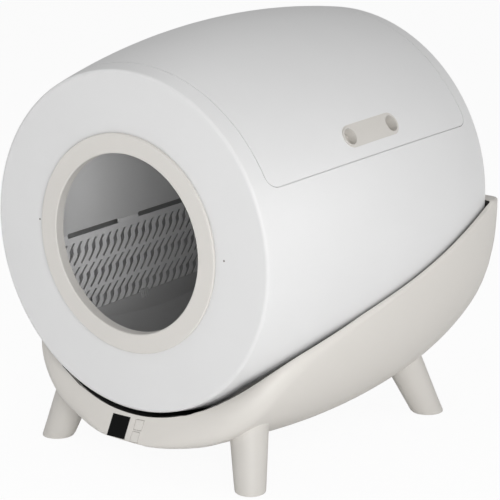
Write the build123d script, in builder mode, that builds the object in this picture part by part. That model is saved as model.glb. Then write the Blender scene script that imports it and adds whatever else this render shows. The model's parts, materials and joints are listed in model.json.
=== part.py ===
from build123d import *
import os
from math import asin, atan2, copysign, cos, degrees, hypot, pi, radians, sin, sqrt, tan

# A self-cleaning litter box: a round drum that turns in a cradle on four splayed legs.
# The origin is on the floor under the middle of the cradle. Y runs from the entrance to the rear, Z is up.
# A "place" is a distance along Y behind the drum's front face, and an "elevation" is an angle about
# the drum's axis, from +X up over the top.

# The drum
drum_length = 500
drum_belly_radius = 265.7
drum_front_taper = 33.7
drum_rear_taper = 17.2
belly_share = 0.583
drum_front_radius = drum_belly_radius - drum_front_taper
drum_rear_radius = drum_belly_radius - drum_rear_taper
belly_place = belly_share * drum_length
drum_wall = 3
drum_edge_fillet = 5
entrance_radius = 122.5

# The trim ring round the entrance
ring_outer_radius = 149.5
ring_proud = 4.8
ring_depth = 10
ring_wall = 3
ring_edge_fillet = 1.8
ring_groove = 1.4

# The lid over the waste bin
lid_wall = 2.7
lid_margin = 26.5
lid_front_place = lid_margin
lid_rear_place = drum_length - lid_margin
lid_seam_elevation = 25.3
lid_seam_gap = 1.0
hinge_seam_gap = 1.8
lid_corner = 18
sill_wall = 2.5
sill_width = 8
seat_gap = 0.3

# The lid's hinges, on the far side from the handle: two tongues on pins under the drum's skin
hinge_reach = 30
hinge_spread = 110
hinge_depth = 6.5
hinge_knuckle_radius = 5
hinge_tongue_width = 16
hinge_ear_width = 5
hinge_side_gap = 0.6
hinge_end_gap = 3
hinge_pin_radius = 2
running_clearance = 0.05

# The magnets that hold the lid shut: a pair in the lid over a pair under the sill
magnet_radius = 3.5
magnet_thickness = 2
magnet_sunk = 1.2
magnet_spread = 120

# The handle let into the lid
handle_length = 121
handle_height = 32
handle_place = 241.5
handle_elevation = 32.4
handle_plate = 3
finger_hole_radius = 11.5
finger_hole_spacing = 93.7
finger_cup_depth = 15
finger_cup_wall = 2
handle_sunk = 0.4

# The inside of the drum
liner_wall = 2.5
liner_top_elevation = 21
rear_panel_inset = 21
rear_panel_place = drum_length - rear_panel_inset
rear_panel_wall = 3
screen_inset = 47.1
screen_distance = drum_belly_radius - screen_inset
screen_tilt = 13.65
screen_wall = 3
screen_height = 124
screen_margin = 34
screen_front_place = screen_margin
screen_rear_place = drum_length - screen_margin
slot_pitch = 16
slot_rows = 3
slot_row_drop = 37.4
slot_row_shift = 6.7
slot_first_bend = 28
slot_margin = 14
slot_rim = 3
chute_wall = 2.5
chute_top_height = 80
chute_lean = 24
chute_slot_length = 112
chute_slot_height = 5.5
chute_slot_gap = 44
ledge_drop = 114
ledge_height = 14.5
ledge_step = 1.6
ledge_wall = 2.5
clip_length = 16
clip_height = 13
clip_hold = 4
clip_proud = 1.5
clip_rib_width = 1.4
clip_rib_proud = 1
clip_rib_pitch = 5
ceiling_height = 129
ceiling_wall = 3
ceiling_edge = 130
ceiling_bend = 165
ceiling_drop = 26
bin_wall = 2.5
bin_left = 122
bin_right = 176
bin_margin = 42
bin_front_slack = 2
bin_front_place = bin_margin - bin_front_slack
bin_rear_place = drum_length - bin_margin
bin_height = 50
bin_corner = 20

# The gear drive at the rear
gear_module = 4
gear_rim = 20.5
gear_ring_teeth = round(2 * (drum_rear_radius - gear_rim) / gear_module)
pinion_teeth = 12
pressure_angle = 20
gear_backlash = 0.5
gear_ring_width = 12
pinion_width = 11
gear_tip_share = 0.6
gear_root_share = 1.2
gear_rear_gap = 3
flank_steps = 3
motor_shaft_depth = 8
motor_shaft_radius = 4
motor_radius = 31
motor_thickness = 19

# The cradle
cradle_rear_reach = 32
cradle_side_margin = 3.5
cradle_floor_margin = 37.3
ground_clearance = 20
cradle_rear_place = drum_length + cradle_rear_reach
cradle_half_width = drum_belly_radius + cradle_side_margin
cradle_depth = drum_belly_radius + cradle_floor_margin
drum_axis_height = cradle_depth + ground_clearance
cradle_wall = 3
cradle_gap = 5
cradle_front_gap = 7
bulkhead_gap = 6
tray_wall = 2
tray_lip = 3.2
tray_lip_depth = 4
parting_gap = 0.3
front_slope = 3
front_panel_height = 48
front_turn_radius = 8
rim_slope = 0.307
rim_bend_radius = 165
rim_low_place = 26
rim_low_rise = 71
rim_low_drop = drum_front_radius - rim_low_rise
deck_drop = 8
deck_inset = 12
deck_place = drum_length - deck_inset
deck_run = 26
deck_bend_radius = 14
bowl_steps = 12

# The legs, each with the angle that it leans by, outwards and along the object
leg_front_inset = 99.2
leg_rear_inset = 72.2
leg_front_half_spread = cradle_half_width - leg_front_inset
leg_rear_half_spread = cradle_half_width - leg_rear_inset
leg_front_place = 42
leg_rear_reach = 90
leg_rear_place = cradle_rear_place - leg_rear_reach
leg_front_splay = 12.5
leg_front_rake = 16.4
leg_rear_splay = 18.4
leg_rear_rake = 18.4
leg_foot_radius = 21.7
leg_taper = 3.2
leg_length = 130
leg_bolt_radius = 3
leg_bolt_length = 26
leg_bolt_head_radius = 6
leg_bolt_head = 4
leg_bolt_rise = 84
pad_radius = 15
pad_proud = 1
pad_thickness = 4

# The support rollers in the cradle
roller_radius = 14
roller_width = 12
roller_front_place = 34
roller_rear_inset = 70
roller_rear_place = drum_length - roller_rear_inset
roller_turn = 29.5
roller_gap = 0.3
roller_pin_radius = 3
roller_side_gap = 0.5
roller_cheek = 4

# The controls on the leaning panel
display_left = 30
display_right = 1
display_top = 6
display_height = 33.5
display_thickness = 2
button_size = 14
button_left = 11
button_lower_shift = 6.5
button_spacing = 19.5
button_travel = 1.2
button_gap = 0.3
button_thickness = 3
button_stem_radius = 2.5
board_depth = 7
board_thickness = 1.6
board_post_radius = 2
board_margin = 5

# The power inlet and the position sensor at the rear
inlet_radius = 6
inlet_bore_radius = 3.2
inlet_depth = 12
inlet_side = 120
inlet_drop = 120
sensor_size = 14
sensor_thickness = 1.6
sensor_turn = 40

cut_overrun = 30
edge_tolerance = 0.2

# The cradle's outer form, from front to rear: a section's place as a share of the cradle's length behind the
# drum's face, its half width and depth as shares of the largest, and how full the corners of its oval are
bowl_shares = [
    (-0.049, 0.728, 0.945, 2.95),
    (0.075, 0.765, 0.953, 2.80),
    (0.207, 0.884, 0.983, 2.66),
    (0.376, 0.960, 1.000, 2.62),
    (0.564, 1.000, 1.000, 2.62),
    (0.733, 0.998, 0.980, 2.59),
    (0.865, 0.984, 0.941, 2.54),
    (1.000, 0.933, 0.871, 2.47),
]

# The sieve's slots, as shares of their pitch from each slot's bend, X to the rear and Y up the screen:
# a bend and a straight tail, and the lead that comes down into them, shorter in the top row
slot_body_shares = [
    (0, 0),
    (-0.24, -0.26),
    (-0.49, -0.49),
    (-1.21, -1.08),
    (-1.39, -0.94),
    (-0.68, -0.34),
    (-0.56, -0.13),
    (-0.55, 0.28),
]
slot_lead_shares = [(-0.16, 0.49), (0.68, 1.10), (0.92, 1.03), (0.07, 0.40)]
top_lead_shares = [(-0.21, 0.63), (0.12, 0.91), (0.44, 0.91), (0.06, 0.54)]

panel_lean = atan2(front_slope, 1)
panel_foot_reach = front_panel_height / front_slope
lip_reach = panel_foot_reach - front_turn_radius * (1 / tan(panel_lean / 2) - 1)
face_y = (lip_reach - cradle_rear_place) / 2
level = Plane.XY.offset(drum_axis_height)
drum_axis = Axis((0, 0, drum_axis_height), (0, 1, 0))


def circle_through(a, b, c):
    """Centre and radius of the circle through three points."""
    (ax, ay), (bx, by), (cx, cy) = a, b, c
    d = 2 * (ax * (by - cy) + bx * (cy - ay) + cx * (ay - by))
    a2, b2, c2 = ax * ax + ay * ay, bx * bx + by * by, cx * cx + cy * cy
    x = (a2 * (by - cy) + b2 * (cy - ay) + c2 * (ay - by)) / d
    y = (a2 * (cx - bx) + b2 * (ax - cx) + c2 * (bx - ax)) / d
    return x, y, hypot(ax - x, ay - y)


side = circle_through(
    (drum_front_radius, 0), (drum_belly_radius, belly_place), (drum_rear_radius, drum_length)
)
hollow = circle_through(
    (drum_front_radius + cradle_front_gap, 0),
    (drum_belly_radius + cradle_gap, belly_place),
    (drum_rear_radius + cradle_gap, drum_length),
)


def radius_at(curve, place, offset=0):
    """Radius at a place of the drum's side or the cradle's hollow, or of a surface outside it."""
    centre_radius, centre_place, radius = curve
    return centre_radius + sqrt((radius + offset) ** 2 - (place - centre_place) ** 2)


def along(place):
    return face_y + place


def around(radius, elevation, place):
    """The point at a radius and elevation about the drum's axis."""
    turn = radians(elevation)
    return (radius * cos(turn), along(place), drum_axis_height + radius * sin(turn))


def cross_plane(place):
    """A plane across the drum's axis, drawn as seen from the entrance."""
    return Plane(origin=(0, along(place), drum_axis_height), x_dir=(1, 0, 0), z_dir=(0, -1, 0))


def radial_plane(elevation, place=0):
    """A plane through the drum's axis: its X points outwards and its Y to the rear."""
    turn = radians(elevation)
    return Plane(
        origin=(0, along(place), drum_axis_height),
        x_dir=(cos(turn), 0, sin(turn)),
        z_dir=(-sin(turn), 0, cos(turn)),
    )


def tangent_plane(radius, elevation, place):
    """A plane that faces outwards at a radius: its X points to the rear and its Y up over the drum."""
    turn = radians(elevation)
    return Plane(
        origin=around(radius, elevation, place),
        x_dir=(0, 1, 0),
        z_dir=(cos(turn), 0, sin(turn)),
    )


def skin_plane(elevation, place, depth=0):
    """A plane along the drum's skin at a depth under it: its X points to the rear."""
    turn = radians(elevation)
    slope = asin((place - side[1]) / side[2])
    outwards = Vector(cos(slope) * cos(turn), sin(slope), cos(slope) * sin(turn))
    return Plane(
        origin=Vector(*around(radius_at(side, place), elevation, place)) - outwards * depth,
        x_dir=(-sin(slope) * cos(turn), cos(slope), -sin(slope) * sin(turn)),
        z_dir=outwards,
    )


def band(curve, inner, outer, start, stop):
    """Drawing, for a radial plane, of the strip between two offsets of a curved side."""
    middle = (start + stop) / 2

    def point(place, offset):
        return (radius_at(curve, place, offset), place)

    with BuildSketch() as drawing:
        with BuildLine():
            ThreePointArc(point(start, outer), point(middle, outer), point(stop, outer))
            Line(point(stop, outer), point(stop, inner))
            ThreePointArc(point(stop, inner), point(middle, inner), point(start, inner))
            Line(point(start, inner), point(start, outer))
        make_face()
    return drawing.sketch


def inside(curve, offset, start, stop):
    """Drawing, for a radial plane, of all from the axis out to an offset of a curved side."""
    middle = (start + stop) / 2

    def point(place):
        return (radius_at(curve, place, offset), place)

    with BuildSketch() as drawing:
        with BuildLine():
            ThreePointArc(point(start), point(middle), point(stop))
            Polyline(point(stop), (0, stop), (0, start), point(start))
        make_face()
    return drawing.sketch


def turned(curve, offset, start, stop):
    """The round solid inside an offset of a curved side."""
    with BuildPart() as body:
        with BuildSketch(radial_plane(0)):
            add(inside(curve, offset, start, stop))
        revolve(axis=drum_axis)
    return body.part


def bowl(inset, stop):
    """The cradle's outer form below the axis, drawn in by an inset, up to a place at the rear."""
    with BuildPart() as body:
        for place_share, width_share, depth_share, fullness in bowl_shares:
            place = min(place_share * cradle_rear_place, stop)
            half_width = width_share * cradle_half_width - inset
            depth = depth_share * cradle_depth - inset
            turns = [radians(180 + share * 180 / bowl_steps) for share in range(bowl_steps + 1)]
            outline = [
                (
                    half_width * copysign(abs(cos(turn)) ** (2 / fullness), cos(turn)),
                    -depth * abs(sin(turn)) ** (2 / fullness),
                )
                for turn in turns
            ]
            outline[0] = (-half_width, 0)
            outline[-1] = (half_width, 0)
            with BuildSketch(cross_plane(place)):
                with BuildLine():
                    Spline(*outline, tangents=[(0, -1), (0, 1)])
                    Line(outline[-1], outline[0])
                make_face()
        loft()
    return body.part


def below_rim(lowered=0):
    """All that lies behind the leaning panel and below the rim, or below a line at a depth under them."""
    panel_top = drum_front_radius + cradle_front_gap
    foot_drop = panel_top + front_panel_height + cut_overrun
    deck_start = deck_place - deck_run
    with BuildPart() as body:
        with BuildSketch(Plane.YZ) as outline:
            with BuildLine():
                rim = FilletPolyline(
                    (along(-(foot_drop - panel_top) / front_slope), drum_axis_height - foot_drop),
                    (along(rim_low_place), drum_axis_height - rim_low_drop),
                    (
                        along(deck_start),
                        drum_axis_height - rim_low_drop + rim_slope * (deck_start - rim_low_place),
                    ),
                    (along(deck_place), drum_axis_height - deck_drop),
                    (along(cradle_rear_place + cut_overrun), drum_axis_height - deck_drop),
                    radius=[rim_bend_radius, deck_bend_radius, deck_bend_radius],
                )
                Polyline(
                    rim @ 1,
                    (along(cradle_rear_place + cut_overrun), drum_axis_height - foot_drop),
                    rim @ 0,
                )
            make_face()
            if lowered:
                offset(amount=-lowered, kind=Kind.INTERSECTION)
        extrude(amount=cradle_half_width + cut_overrun, both=True)
    return body.part

os.makedirs("parts", exist_ok=True)

outer_bowl = bowl(0, cradle_rear_place)
inner_bowl = bowl(cradle_wall, cradle_rear_place - cradle_wall)
under_rim = below_rim()
under_deck = below_rim(cradle_wall)
tray_stop = drum_length + bulkhead_gap
panel_top = drum_front_radius + cradle_front_gap

# The leaning front panel: X to the right as seen, Y up the panel, from the gap's lowest point
panel = Plane(
    origin=(0, along(0), drum_axis_height - panel_top),
    x_dir=(1, 0, 0),
    z_dir=(0, -sin(panel_lean), cos(panel_lean)),
)


def roller_places():
    """Elevation and place of each support roller."""
    return [
        (turn - 90, place)
        for place in (roller_front_place, roller_rear_place)
        for turn in (-roller_turn, roller_turn)
    ]


def roller_reach(place):
    """Distance of a roller's axis from the drum's: it clears the drum's side at its nearer end."""
    ends = (place - roller_width / 2, place + roller_width / 2)
    return max(radius_at(side, end) for end in ends) + roller_gap + roller_radius


def roller_plane(elevation, place, start):
    """A plane across a roller's axis at a distance behind its middle."""
    reach = roller_reach(place)
    return Plane(origin=around(reach, elevation, place + start), x_dir=(1, 0, 0), z_dir=(0, -1, 0))


def write(piece, name):
    """Labels a finished piece and writes it to its own file."""
    piece.label = name
    export_step(piece, f"parts/{name}.step")


# Legs: round, tapered and splayed, cut flat at the foot and to the cradle's underside at the top
leg_names = []
leg_planes = []
for row, half_spread, place, splay, rake in (
    ("front", leg_front_half_spread, leg_front_place, leg_front_splay, leg_front_rake),
    ("rear", leg_rear_half_spread, leg_rear_place, leg_rear_splay, -leg_rear_rake),
):
    for hand, sign in (("left", -1), ("right", 1)):
        lean = (-sign * tan(radians(splay)), tan(radians(rake)), 1)
        leg_names.append(f"{row}_{hand}_leg")
        leg_planes.append(Plane(origin=(sign * half_spread, along(place), 0), x_dir=(1, 0, 0), z_dir=lean))

for name, foot in zip(leg_names, leg_planes):
    with BuildPart() as leg:
        with BuildSketch(foot.offset(-leg_foot_radius)):
            Circle(leg_foot_radius - leg_foot_radius * tan(radians(leg_taper)))
        extrude(amount=leg_length + leg_foot_radius, taper=-leg_taper)
        split(bisect_by=Plane.XY.offset(pad_proud), keep=Keep.TOP)
        with BuildSketch(Plane.XY.offset(pad_proud)):
            with Locations((foot.origin.X, foot.origin.Y)):
                Circle(pad_radius)
        extrude(amount=pad_thickness - pad_proud, mode=Mode.SUBTRACT)
        add(outer_bowl, mode=Mode.SUBTRACT)
        with BuildSketch(foot.offset(leg_bolt_rise - leg_bolt_length)):
            Circle(leg_bolt_radius)
        extrude(amount=leg_bolt_length, mode=Mode.SUBTRACT)
        with BuildSketch(foot.offset(leg_bolt_rise)):
            Circle(leg_bolt_head_radius)
        extrude(amount=leg_bolt_head, mode=Mode.SUBTRACT)
    write(leg.part, name)

with BuildPart() as foot_pads:
    with BuildSketch():
        with Locations(*[(foot.origin.X, foot.origin.Y) for foot in leg_planes]):
            Circle(pad_radius)
    extrude(amount=pad_thickness)
write(foot_pads.part, "foot_pads")

with BuildPart() as leg_bolts:
    for foot in leg_planes:
        with BuildSketch(foot.offset(leg_bolt_rise - leg_bolt_length)):
            Circle(leg_bolt_radius)
        extrude(amount=leg_bolt_length)
        with BuildSketch(foot.offset(leg_bolt_rise)):
            Circle(leg_bolt_head_radius)
        extrude(amount=leg_bolt_head)
write(leg_bolts.part, "leg_bolts")

# Cradle: the outer shell, open towards the drum
with BuildPart() as bowl_inside:
    add(inner_bowl)
    add(under_deck, mode=Mode.INTERSECT)

display_middle = (
    (display_right - display_left) / 2,
    -display_top - display_height / 2,
)
display_width = display_left + display_right
button_middles = [
    (button_left + button_size / 2, -display_top - button_size / 2),
    (
        button_left + button_size / 2 - button_lower_shift,
        -display_top - button_size / 2 - button_spacing,
    ),
]

board_left = -display_left - board_margin
board_right = button_left + button_size + board_margin
board_top = -display_top
board_bottom = button_middles[1][1] - button_size / 2

board_middle = ((board_left + board_right) / 2, (board_top + board_bottom) / 2)

with BuildPart() as cradle_shell:
    add(outer_bowl)
    add(under_rim, mode=Mode.INTERSECT)
    foot_edges = cradle_shell.edges().filter_by(
        lambda edge: all(abs(panel.to_local_coords(edge @ share).Z) < edge_tolerance for share in (0, 0.5, 1))
    )
    fillet(foot_edges.sort_by(Axis.Z)[0], radius=front_turn_radius)
    add(turned(hollow, tray_lip + parting_gap, -cut_overrun, tray_stop + tray_wall), mode=Mode.SUBTRACT)
    add(bowl_inside.part, mode=Mode.SUBTRACT)
    with BuildSketch(panel.offset(cut_overrun)):
        with Locations(display_middle):
            Rectangle(display_width, display_height)
        with Locations(*button_middles):
            Rectangle(button_size + 2 * button_gap, button_size + 2 * button_gap)
    extrude(amount=-cut_overrun - board_depth, mode=Mode.SUBTRACT)
    with BuildSketch(panel.offset(-cradle_wall / 2)):
        with Locations(board_middle):
            with GridLocations(
                board_right - board_left - 2 * board_post_radius,
                board_top - board_bottom - 2 * board_post_radius,
                2,
                2,
            ):
                Circle(board_post_radius)
    extrude(amount=cradle_wall / 2 - board_depth)
    for foot in leg_planes:
        with BuildSketch(foot.offset(leg_bolt_rise - leg_bolt_length)):
            Circle(leg_bolt_radius)
        extrude(amount=leg_bolt_length, mode=Mode.SUBTRACT)
        with BuildSketch(foot.offset(leg_bolt_rise)):
            Circle(leg_bolt_head_radius)
        extrude(amount=leg_bolt_head, mode=Mode.SUBTRACT)
    with BuildSketch(cross_plane(cradle_rear_place)):
        with Locations((inlet_side, -inlet_drop)):
            Circle(inlet_radius)
    extrude(amount=cradle_wall, mode=Mode.SUBTRACT)
write(cradle_shell.part, "cradle_shell")

# Cradle: the inner tray under the drum, its lip at the rim and its flat bulkhead at the rear
pinion_reach = gear_module * (gear_ring_teeth - pinion_teeth) / 2


def pinion_plane(place):
    """A plane across the pinion's axis, straight below the drum's."""
    return Plane(
        origin=(0, along(place), drum_axis_height - pinion_reach), x_dir=(1, 0, 0), z_dir=(0, -1, 0)
    )


with BuildPart() as cradle_tray:
    add(turned(hollow, tray_lip, -cut_overrun, tray_stop + tray_wall))
    with BuildPart(mode=Mode.PRIVATE) as tray_back:
        add(turned(hollow, tray_lip + cut_overrun, -cut_overrun, tray_stop + tray_wall))
        add(turned(hollow, tray_wall, -cut_overrun, tray_stop + tray_wall), mode=Mode.SUBTRACT)
        add(below_rim(tray_lip_depth), mode=Mode.INTERSECT)
    add(tray_back.part, mode=Mode.SUBTRACT)
    add(turned(hollow, 0, -2 * cut_overrun, tray_stop), mode=Mode.SUBTRACT)
    add(under_rim, mode=Mode.INTERSECT)
    for elevation, place in roller_places():
        with BuildSketch(roller_plane(elevation, place, -roller_width / 2 - roller_side_gap)):
            Circle(roller_radius + roller_side_gap)
        extrude(amount=-roller_width - 2 * roller_side_gap, mode=Mode.SUBTRACT)
    with BuildSketch(pinion_plane(tray_stop)):
        Circle(motor_shaft_radius + running_clearance)
    extrude(amount=-tray_wall, mode=Mode.SUBTRACT)
write(cradle_tray.part, "cradle_tray")

# Support rollers, each on a steel pin in a bracket under the tray
bracket_half_length = roller_width / 2 + roller_side_gap + roller_cheek
bracket_half_width = roller_radius + roller_cheek
roller_names = ["front_left_roller", "front_right_roller", "rear_left_roller", "rear_right_roller"]

for name, (elevation, place) in zip(roller_names, roller_places()):
    with BuildPart() as roller:
        with BuildSketch(roller_plane(elevation, place, -roller_width / 2)):
            Circle(roller_radius)
            Circle(roller_pin_radius + running_clearance, mode=Mode.SUBTRACT)
        extrude(amount=-roller_width)
        rims = roller.edges().filter_by(GeomType.CIRCLE).sort_by(SortBy.RADIUS)[-2:]
        chamfer(rims, length=roller_side_gap)
    write(roller.part, name)

with BuildPart() as roller_pins:
    for elevation, place in roller_places():
        with BuildSketch(roller_plane(elevation, place, -bracket_half_length)):
            Circle(roller_pin_radius)
        extrude(amount=-2 * bracket_half_length)
write(roller_pins.part, "roller_pins")

with BuildPart() as roller_brackets:
    for elevation, place in roller_places():
        reach = roller_reach(place)
        with BuildSketch(radial_plane(elevation).offset(-bracket_half_width)):
            with Locations((reach, place)):
                Rectangle(2 * bracket_half_width, 2 * bracket_half_length)
        extrude(amount=2 * bracket_half_width)
    add(turned(hollow, tray_wall, -cut_overrun, tray_stop + tray_wall), mode=Mode.SUBTRACT)
    for elevation, place in roller_places():
        with BuildSketch(roller_plane(elevation, place, -roller_width / 2 - roller_side_gap)):
            Circle(roller_radius + roller_side_gap)
        extrude(amount=-roller_width - 2 * roller_side_gap, mode=Mode.SUBTRACT)
        with BuildSketch(roller_plane(elevation, place, -bracket_half_length)):
            Circle(roller_pin_radius)
        extrude(amount=-2 * bracket_half_length, mode=Mode.SUBTRACT)
    add(bowl_inside.part, mode=Mode.INTERSECT)
    add(cradle_tray.part, mode=Mode.SUBTRACT)
write(roller_brackets.part, "roller_brackets")

# Controls: display window, control board and two push buttons
with BuildPart() as display_window:
    with BuildSketch(panel):
        with Locations(display_middle):
            Rectangle(display_width, display_height)
    extrude(amount=-display_thickness)
write(display_window.part, "display_window")

with BuildPart() as control_board:
    with BuildSketch(panel.offset(-board_depth)):
        with Locations(board_middle):
            Rectangle(board_right - board_left, board_top - board_bottom)
    extrude(amount=-board_thickness)
write(control_board.part, "control_board")

for name, middle in zip(("upper_button", "lower_button"), button_middles):
    with BuildPart() as button:
        with BuildSketch(panel):
            with Locations(middle):
                Rectangle(button_size, button_size)
        extrude(amount=-button_thickness)
        with BuildSketch(panel.offset(-button_thickness)):
            with Locations(middle):
                Circle(button_stem_radius)
        extrude(amount=button_thickness + button_travel + button_gap - board_depth)
    write(button.part, name)

# Drive: geared motor behind the bulkhead, its shaft with the pinion, and the power inlet
def involute(radius, base):
    """Angle by which an involute has wound off its base circle at a radius."""
    lift = sqrt(max((radius / base) ** 2 - 1, 0))
    return lift - atan2(lift, 1)


def tooth_flank(teeth, low, high, thickness):
    """Radius and half angle of points up one side of a tooth, by its thickness on the pitch circle."""
    pitch = gear_module * teeth / 2
    base = pitch * cos(radians(pressure_angle))
    half = thickness / (2 * pitch) + involute(pitch, base)
    radii = [low + (high - low) * step / flank_steps for step in range(flank_steps + 1)]
    return [(radius, half - involute(max(radius, base), base)) for radius in radii]


def gear_outline(teeth, low, high, thickness, turn):
    """Corner points of a whole gear, with a tooth in the middle of a given direction."""
    flank = tooth_flank(teeth, low, high, thickness)
    corners = []
    for tooth in range(teeth):
        middle = turn + 2 * pi * tooth / teeth
        turns = [(radius, middle - half) for radius, half in flank]
        turns += [(radius, middle + half) for radius, half in flank[::-1]]
        corners += [(radius * cos(turn), radius * sin(turn)) for radius, turn in turns]
    return corners


gear_start = drum_length - gear_ring_width - gear_rear_gap
ring_pitch = gear_module * gear_ring_teeth / 2
pinion_pitch = gear_module * pinion_teeth / 2
down = radians(-90)

with BuildPart() as ring_gear:
    add(turned(side, -drum_wall, gear_start, gear_start + gear_ring_width))
    with BuildSketch(cross_plane(gear_start)):
        with BuildLine():
            Polyline(
                *gear_outline(
                    gear_ring_teeth,
                    ring_pitch - gear_tip_share * gear_module,
                    ring_pitch + gear_root_share * gear_module,
                    pi * gear_module / 2 + gear_backlash / 2,
                    down,
                ),
                close=True,
            )
        make_face()
    extrude(amount=-gear_ring_width, mode=Mode.SUBTRACT)
write(ring_gear.part, "ring_gear")

pinion_start = gear_start + (gear_ring_width - pinion_width) / 2
motor_start = tray_stop + tray_wall

with BuildPart() as drive_pinion:
    with BuildSketch(pinion_plane(pinion_start)):
        with BuildLine():
            Polyline(
                *gear_outline(
                    pinion_teeth,
                    pinion_pitch - gear_root_share * gear_module,
                    pinion_pitch + gear_module,
                    pi * gear_module / 2 - gear_backlash / 2,
                    down,
                ),
                close=True,
            )
        make_face()
    extrude(amount=-pinion_width)
    with BuildSketch(pinion_plane(pinion_start + pinion_width)):
        Circle(motor_shaft_radius)
    extrude(amount=pinion_start + pinion_width - motor_start - motor_shaft_depth)
write(drive_pinion.part, "drive_pinion")

with BuildPart() as drive_motor:
    with BuildSketch(pinion_plane(motor_start)):
        Circle(motor_radius)
    extrude(amount=-motor_thickness)
    with BuildSketch(pinion_plane(motor_start)):
        Circle(motor_shaft_radius + running_clearance)
    extrude(amount=-motor_shaft_depth - running_clearance, mode=Mode.SUBTRACT)
write(drive_motor.part, "drive_motor")

with BuildPart() as power_inlet:
    with BuildSketch(cross_plane(cradle_rear_place)):
        with Locations((inlet_side, -inlet_drop)):
            Circle(inlet_radius)
    extrude(amount=inlet_depth)
    with BuildSketch(cross_plane(cradle_rear_place)):
        with Locations((inlet_side, -inlet_drop)):
            Circle(inlet_bore_radius)
    extrude(amount=inlet_depth - cradle_wall, mode=Mode.SUBTRACT)
write(power_inlet.part, "power_inlet")

with BuildPart() as position_sensor:
    with BuildSketch(cross_plane(motor_start)):
        with PolarLocations(ring_pitch + gear_module, 1, start_angle=-sensor_turn):
            Rectangle(sensor_size, sensor_size)
    extrude(amount=-sensor_thickness)
write(position_sensor.part, "position_sensor")

# Drum shell: the curved side, the flat front round the entrance, and the sill that the lid rests on


def side_patch(inner, outer, start, stop, low_turn, high_turn, corner):
    """A patch of the drum's side between two places and two elevations, with round corners."""
    with BuildPart() as patch:
        with BuildSketch(radial_plane(high_turn)):
            add(band(side, inner, outer, start, stop))
        revolve(axis=drum_axis, revolution_arc=high_turn - low_turn)
        for place, back in ((start + corner, -1), (stop - corner, 1)):
            radius = radius_at(side, place)
            spread = degrees(corner / radius)
            for elevation, up in ((low_turn + spread, -1), (high_turn - spread, 1)):
                with BuildSketch(tangent_plane(radius + outer + corner, elevation, place)):
                    with Locations((back * corner, up * corner)):
                        Rectangle(2 * corner, 2 * corner)
                    Circle(corner, mode=Mode.SUBTRACT)
                extrude(amount=inner - outer - 2 * corner, mode=Mode.SUBTRACT)
    return patch.part


def around_lid(inner, outer, margin, held_back=0):
    """A patch under or round the lid, larger than the lid by a margin, its hinge side held back."""
    spread = degrees(margin / drum_belly_radius)
    return side_patch(
        inner,
        outer,
        lid_front_place - margin,
        lid_rear_place + margin,
        lid_seam_elevation - spread,
        180 - lid_seam_elevation + spread - degrees(held_back / drum_belly_radius),
        lid_corner + margin,
    )


# The lid's hinges lie where the drum's skin is at one radius, on both sides of its widest place
hinge_places = [side[1] - hinge_spread, side[1] + hinge_spread]
hinge_radius = radius_at(side, hinge_places[0]) - hinge_depth
hinge_elevation = 180 - lid_seam_elevation + degrees(hinge_reach / drum_belly_radius)
hinge_ear_start = hinge_tongue_width / 2 + hinge_side_gap


def hinge_plane(place):
    """A plane across a hinge pin."""
    return Plane(origin=around(hinge_radius, hinge_elevation, place), x_dir=(1, 0, 0), z_dir=(0, -1, 0))


def hinge_strip(inner, outer, half_width, past_seam, past_pin):
    """Strips of the drum's side that run from beside the lid's seam past the hinge pins."""
    low_turn = 180 - lid_seam_elevation + degrees(past_seam / drum_belly_radius)
    high_turn = hinge_elevation + degrees(past_pin / drum_belly_radius)
    with BuildPart() as strips:
        with BuildSketch(radial_plane(high_turn)):
            for place in hinge_places:
                add(band(side, inner, outer, place - half_width, place + half_width))
        revolve(axis=drum_axis, revolution_arc=high_turn - low_turn)
    return strips.part


with BuildPart() as hinge_pins:
    for place in hinge_places:
        with BuildSketch(hinge_plane(place - hinge_ear_start - hinge_ear_width)):
            Circle(hinge_pin_radius)
        extrude(amount=-2 * (hinge_ear_start + hinge_ear_width))
write(hinge_pins.part, "hinge_pins")

magnet_elevation = lid_seam_elevation + degrees(sill_width / 2 / drum_belly_radius)
magnet_places = [drum_length / 2 - magnet_spread, drum_length / 2 + magnet_spread]


def magnets(depth, thickness):
    """A pair of round magnets by the lid's free edge, from a depth under the drum's skin inwards."""
    with BuildPart() as pair:
        for place in magnet_places:
            with BuildSketch(skin_plane(magnet_elevation, place, depth)):
                Circle(magnet_radius)
            extrude(amount=-thickness)
    return pair.part


lid_magnets = magnets(lid_wall - magnet_sunk, magnet_sunk)
write(lid_magnets, "lid_magnets")
sill_magnets = magnets(drum_wall + sill_wall - magnet_sunk, magnet_thickness)
write(sill_magnets, "sill_magnets")

with BuildPart() as drum_shell:
    add(turned(side, 0, 0, drum_length))
    fillet(drum_shell.edges().filter_by(GeomType.CIRCLE).sort_by(Axis.Y)[0], radius=drum_edge_fillet)
    add(turned(side, -drum_wall, drum_wall, drum_length), mode=Mode.SUBTRACT)
    add(around_lid(-drum_wall - sill_wall, -drum_wall / 2, sill_width / 2))
    add(around_lid(-drum_wall, cut_overrun, lid_seam_gap), mode=Mode.SUBTRACT)
    add(around_lid(-cut_overrun, cut_overrun, -sill_width), mode=Mode.SUBTRACT)
    with BuildSketch(cross_plane(0)):
        Circle(entrance_radius + ring_wall + seat_gap)
    extrude(amount=-drum_wall, mode=Mode.SUBTRACT)
    for place in hinge_places:
        for start in (place - hinge_ear_start - hinge_ear_width, place + hinge_ear_start):
            with BuildSketch(hinge_plane(start)):
                Circle(hinge_knuckle_radius)
                Circle(hinge_pin_radius, mode=Mode.SUBTRACT)
            extrude(amount=-hinge_ear_width)
    add(
        hinge_strip(-cut_overrun, cut_overrun, hinge_ear_start, 0, hinge_depth + hinge_end_gap),
        mode=Mode.SUBTRACT,
    )
    add(sill_magnets, mode=Mode.SUBTRACT)
write(drum_shell.part, "drum_shell")

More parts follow.
